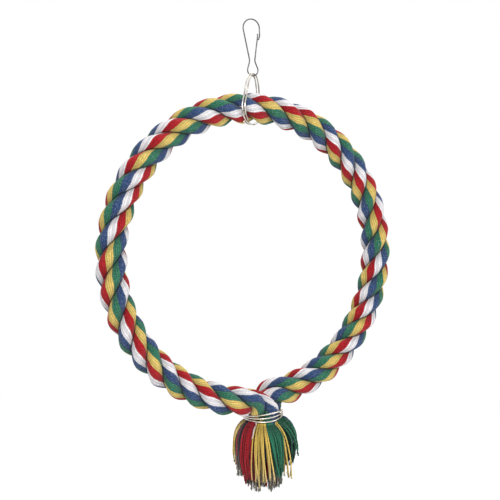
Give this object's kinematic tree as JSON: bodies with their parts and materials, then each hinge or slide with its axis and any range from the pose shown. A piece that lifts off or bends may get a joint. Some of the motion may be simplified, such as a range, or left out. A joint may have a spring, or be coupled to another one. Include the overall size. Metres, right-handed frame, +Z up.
{
  "type": "rope swing perch",
  "caption": "Ring of thick multicoloured laid cotton rope that hangs on a wire snap hook through a wire bail, its ends tied into a frayed tassel, as a swing perch for a cage bird.",
  "frame": {"origin": "the point inside the top of the snap hook where it hangs on a bar", "axes": "+Z up, the ring lies in the XZ plane, its front faces -Y"},
  "size_m": [0.2497, 0.0518, 0.3688],
  "materials": {
    "hook_steel": "nickel-plated spring wire",
    "binding_steel": "soft plated binding wire",
    "core_steel": "plain drawn wire, hidden in the rope",
    "rope_yarn": "laid cotton yarn in red, yellow, green, blue and white bands",
    "yarn_red": "loose cotton yarn",
    "yarn_yellow": "loose cotton yarn",
    "yarn_green": "loose cotton yarn",
    "yarn_blue": "loose cotton yarn",
    "yarn_white": "loose cotton yarn",
    "yarn_filler": "loose reclaimed cotton yarn"
  },
  "bodies": {
    "hook": {"hook_wire": "hook_steel"},
    "gate": {"hook_gate": "hook_steel"},
    "bail": {"bail_wire": "binding_steel"},
    "ring": {"core_wire": "core_steel", "rope_strand_1": "rope_yarn", "rope_strand_2": "rope_yarn", "rope_strand_3": "rope_yarn", "tassel_blue_1": "yarn_blue", "tassel_blue_2": "yarn_blue", "tassel_blue_3": "yarn_blue", "tassel_blue_4": "yarn_blue", "tassel_blue_5": "yarn_blue", "tassel_blue_6": "yarn_blue", "tassel_filler_1": "yarn_filler", "tassel_filler_2": "yarn_filler", "tassel_filler_3": "yarn_filler", "tassel_filler_4": "yarn_filler", "tassel_filler_5": "yarn_filler", "tassel_filler_6": "yarn_filler", "tassel_green_1": "yarn_green", "tassel_green_2": "yarn_green", "tassel_green_3": "yarn_green", "tassel_green_4": "yarn_green", "tassel_green_5": "yarn_green", "tassel_green_6": "yarn_green", "tassel_red_1": "yarn_red", "tassel_red_2": "yarn_red", "tassel_red_3": "yarn_red", "tassel_red_4": "yarn_red", "tassel_red_5": "yarn_red", "tassel_red_6": "yarn_red", "tassel_white_1": "yarn_white", "tassel_white_2": "yarn_white", "tassel_white_3": "yarn_white", "tassel_white_4": "yarn_white", "tassel_white_5": "yarn_white", "tassel_white_6": "yarn_white", "tassel_yellow_1": "yarn_yellow", "tassel_yellow_2": "yarn_yellow", "tassel_yellow_3": "yarn_yellow", "tassel_yellow_4": "yarn_yellow", "tassel_yellow_5": "yarn_yellow", "tassel_yellow_6": "yarn_yellow", "tie_wire": "binding_steel"}
  },
  "joints": [
    {"name": "gate_flex", "type": "hinge", "parent": "hook", "child": "gate", "pos_m": [0.00501, 0, -0.0365], "axis": [0, -1, 0], "range_deg": [0, 11], "stiffness_Nm_per_rad": 0.1},
    {"name": "bail_sway", "type": "hinge", "parent": "hook", "child": "bail", "pos_m": [0.001, 0, -0.0383], "axis": [0, 1, 0], "range_deg": [-30, 30]},
    {"name": "ring_swing", "type": "hinge", "parent": "bail", "child": "ring", "pos_m": [-0.0015, 0, -0.0675], "axis": [1, 0, 0], "range_deg": [-55, 55]}
  ]
}
